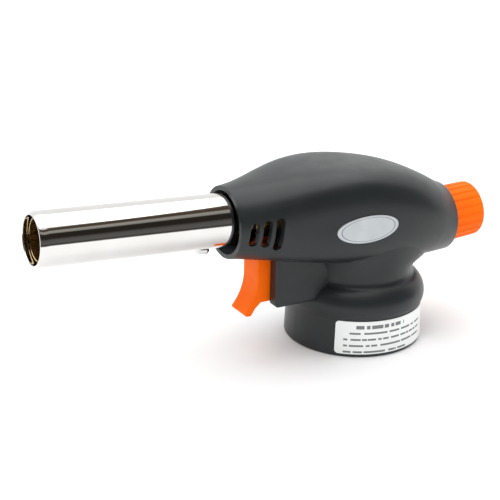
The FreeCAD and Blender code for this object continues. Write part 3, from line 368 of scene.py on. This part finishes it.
def lathe(name, profile, origin, forward, segments=180):
    """A closed outline, of (distance behind the origin, radius), turned about an axis."""
    side = forward.orthogonal().normalized()
    other = forward.cross(side)
    shape = bmesh.new()
    rings = []
    for back, radius in profile:
        ring = []
        for step in range(segments):
            turn = 2 * math.pi * step / segments
            out = side * math.cos(turn) + other * math.sin(turn)
            ring.append(shape.verts.new(origin - forward * back + out * radius))
        rings.append(ring)
    for ring, following in zip(rings, rings[1:] + rings[:1]):
        for step in range(segments):
            ahead = (step + 1) % segments
            shape.faces.new((ring[step], ring[ahead], following[ahead], following[step]))
    return smooth_piece(name, shape)


def rolled_tube():
    """The chromed flame tube, with its mouth rolled in over a long soft curve."""
    inner = 0.00775
    wall = 0.0006
    lip_back = 0.0019
    roll = 0.0030
    roll_power = 2.2
    roll_steps = 12
    bead = 0.00036
    bead_turn = math.radians(40)
    bead_steps = 8
    origin, forward = mouth_frame()
    low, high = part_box("flame_tube")
    pitch = math.atan2(forward.z, forward.x)
    outer = (high.y - low.y) / 2
    length = (high.x - low.x - outer * 2 * math.sin(pitch)) / math.cos(pitch)
    shoulder = inner + bead * (1 + math.cos(bead_turn))
    front = bead * (1 - math.sin(bead_turn))
    profile = [(length, outer - wall), (length, outer), (length * 0.5, outer), (roll, outer)]
    for step in range(1, roll_steps + 1):
        share = step / roll_steps
        profile.append((roll + (front - roll) * share,
                        outer - (outer - shoulder) * share ** roll_power))
    for step in range(1, bead_steps + 1):
        turn = bead_turn + (math.pi - bead_turn) * step / bead_steps
        profile.append((bead * (1 - math.sin(turn)), inner + bead * (1 + math.cos(turn))))
    profile += [(lip_back, inner), (lip_back, outer - wall)]
    tube = lathe("rolled_flame_tube", profile, origin, forward)
    stand_in(tube, "chrome_plate", "flame_tube")


# The skirt's radius under the label's lower and upper edge, as its taper gives.
SKIRT_LOW = 0.02445
SKIRT_HIGH = 0.02401


def label_layer(shape, lift, columns, rows):
    """A grid of points over the label, lifted off the skirt, with its corners rounded."""
    corner = 0.0013
    low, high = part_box("caution_label")
    start, end = math.radians(42), math.radians(138)
    reach = (end - start) * SKIRT_LOW
    grid = []
    for column in range(columns + 1):
        share = 0.5 - 0.5 * math.cos(math.pi * column / columns)
        near = min(share, 1 - share) * reach
        short = corner - math.sqrt(corner ** 2 - max(0.0, corner - near) ** 2)
        bottom, top = low.z + short, high.z - short
        turn = start + (end - start) * share
        line = []
        for row in range(rows + 1):
            height = bottom + (top - bottom) * row / rows
            part = (height - low.z) / (high.z - low.z)
            radius = SKIRT_LOW + (SKIRT_HIGH - SKIRT_LOW) * part + lift
            spot = (radius * math.cos(turn), radius * math.sin(turn), height)
            line.append(shape.verts.new(spot))
        grid.append(line)
    return grid


def round_label():
    """The paper label on the skirt, with rounded corners."""
    columns, rows, thick = 72, 8, 0.0002
    shape = bmesh.new()
    under = label_layer(shape, 0.0, columns, rows)
    over = label_layer(shape, thick, columns, rows)
    for grid in (under, over):
        for column in range(columns):
            for row in range(rows):
                shape.faces.new((grid[column][row], grid[column + 1][row],
                                 grid[column + 1][row + 1], grid[column][row + 1]))
    for row in (0, rows):
        for column in range(columns):
            shape.faces.new((under[column][row], under[column + 1][row],
                             over[column + 1][row], over[column][row]))
    for column in (0, columns):
        for row in range(rows):
            shape.faces.new((under[column][row], under[column][row + 1],
                             over[column][row + 1], over[column][row]))
    stand_in(smooth_piece("skirt_label", shape), "label_white", "caution_label")


rolled_tube()
round_label()


# ------------------------------------------------------------------ studio

# The dark card's brightness from its lower to its upper edge, as (share of height, colour).
DARK_BANDS = [
    (0.00, (0.30, 0.30, 0.29)), (0.05, (0.03, 0.027, 0.022)), (0.10, (0.12, 0.12, 0.11)),
    (0.22, (0.11, 0.105, 0.10)), (0.32, (0.022, 0.018, 0.015)), (0.52, (0.026, 0.022, 0.018)),
    (0.58, (0.32, 0.31, 0.28)), (0.70, (0.38, 0.36, 0.33)), (0.76, (0.07, 0.05, 0.035)),
    (0.90, (0.09, 0.065, 0.045)), (1.0, (0.16, 0.12, 0.08)),
]
# The world's brightness, from the far side of the studio round to the camera's side.
SKY_STOPS = [
    (0.30, (1.0, 1.0, 1.0)), (0.52, (0.98, 0.98, 0.98)), (0.70, (0.84, 0.84, 0.84)),
    (1.0, (0.78, 0.78, 0.78)),
]


def floor():
    """A plain pale floor."""
    half_side = 4.0
    shape = bmesh.new()
    bmesh.ops.create_grid(shape, x_segments=4, y_segments=4, size=half_side)
    mesh = mesh_from("studio_floor", shape)
    mesh.materials.append(surface("floor_paper", (0.87, 0.87, 0.87), (0.88, 0.88, 0.88),
                                  (0.75, 0.85), patch=3, grain=400, depth=0.00001,
                                  strength=0.05, Specular_IOR_Level=0.0))
    add_object("studio_floor", mesh)


def banded_glow():
    """The dark card's material: a glow that changes in DARK_BANDS up the card's height."""
    mat = bpy.data.materials.new("dark_side")
    mat.use_nodes = True
    tree = mat.node_tree
    tree.nodes.clear()
    out = tree.nodes.new("ShaderNodeOutputMaterial")
    emit = tree.nodes.new("ShaderNodeEmission")
    place = tree.nodes.new("ShaderNodeTexCoord")
    split = tree.nodes.new("ShaderNodeSeparateXYZ")
    link(tree, (place, "Generated"), (split, "Vector"))
    bands = ramp(tree, (split, "Z"), DARK_BANDS)
    link(tree, (bands, "Color"), (emit, "Color"))
    link(tree, (emit, "Emission"), (out, "Surface"))
    return mat


def dark_side():
    """The unlit side of the studio, seen only in reflections: a curved wall on the camera's side."""
    radius = 0.30
    height = 0.49
    steps = 48
    rows = 24
    start, end = math.radians(-80), math.radians(85)
    low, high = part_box("flame_tube")
    centre = Vector(((low.x + high.x) / 2, 0.0, 0.0))
    shape = bmesh.new()
    grid = []
    for row in range(rows + 1):
        rise = Vector((0, 0, height * row / rows))
        ring = []
        for step in range(steps + 1):
            turn = start + (end - start) * step / steps
            way = Vector((math.sin(turn), math.cos(turn), 0.0))
            ring.append(shape.verts.new(centre + way * radius + rise))
        grid.append(ring)
    for row in range(rows):
        for step in range(steps):
            shape.faces.new((grid[row][step], grid[row][step + 1],
                             grid[row + 1][step + 1], grid[row + 1][step]))
    mesh = mesh_from("dark_side", shape)
    mesh.materials.append(banded_glow())
    made = add_object("dark_side", mesh)
    made.visible_camera = False
    made.visible_diffuse = False
    made.visible_shadow = False
    made.visible_transmission = False
    made.visible_volume_scatter = False


def softbox(name, place, aim, width, height, radiance):
    """A rectangular soft light; radiance is its brightness seen straight on."""
    data = bpy.data.lights.new(name, "AREA")
    data.shape = "RECTANGLE"
    data.size = width
    data.size_y = height
    data.energy = radiance * math.pi * width * height
    made = add_object(name, data)
    made.location = place
    made.rotation_mode = "QUATERNION"
    made.rotation_quaternion = (Vector(aim) - Vector(place)).to_track_quat("-Z", "Y")
    made.visible_camera = False


def studio():
    """A bright world that is a little dimmer on the camera's side, with one light overhead."""
    dimmer_way = (0.30, 0.92, -0.25)
    world = bpy.data.worlds.new("studio")
    bpy.context.scene.world = world
    world.use_nodes = True
    tree = world.node_tree
    place = tree.nodes.new("ShaderNodeTexCoord")
    toward = tree.nodes.new("ShaderNodeVectorMath")
    toward.operation = "DOT_PRODUCT"
    toward.inputs[1].default_value = dimmer_way
    link(tree, (place, "Generated"), (toward, 0))
    share = tree.nodes.new("ShaderNodeMapRange")
    share.inputs["From Min"].default_value = -1.0
    link(tree, (toward, "Value"), (share, "Value"))
    sky = ramp(tree, (share, "Result"), SKY_STOPS)
    background = tree.nodes["Background"]
    link(tree, (sky, "Color"), (background, "Color"))
    background.inputs["Strength"].default_value = 1.08
    floor()
    dark_side()
    softbox("overhead", place=(0.02, -0.12, 1.0), aim=(0.02, 0.0, 0.0), width=1.6, height=1.2,
            radiance=1.5)
    bpy.context.scene.view_settings.view_transform = "Standard"
    bpy.context.scene.view_settings.look = "None"


def camera():
    """Looks at the torch from its left front quarter, a little above, with a slight roll."""
    place = Vector((0.2401, 0.3415, 0.1857))
    azimuth = math.radians(150.02)
    elevation = math.radians(20.59)
    roll = math.radians(1.30)
    back = Vector((math.sin(azimuth) * math.cos(elevation),
                   -math.cos(azimuth) * math.cos(elevation), math.sin(elevation)))
    level = Vector((math.cos(azimuth), math.sin(azimuth), 0.0))
    upright = back.cross(level)
    right = level * math.cos(roll) + upright * math.sin(roll)
    up = upright * math.cos(roll) - level * math.sin(roll)
    data = bpy.data.cameras.new("camera")
    data.lens = 90.3
    data.sensor_width = 36.0
    data.clip_start = 0.01
    made = add_object("camera", data)
    made.matrix_world = Matrix((
        (right.x, up.x, back.x, place.x),
        (right.y, up.y, back.y, place.y),
        (right.z, up.z, back.z, place.z),
        (0.0, 0.0, 0.0, 1.0),
    ))
    bpy.context.scene.camera = made


studio()
camera()
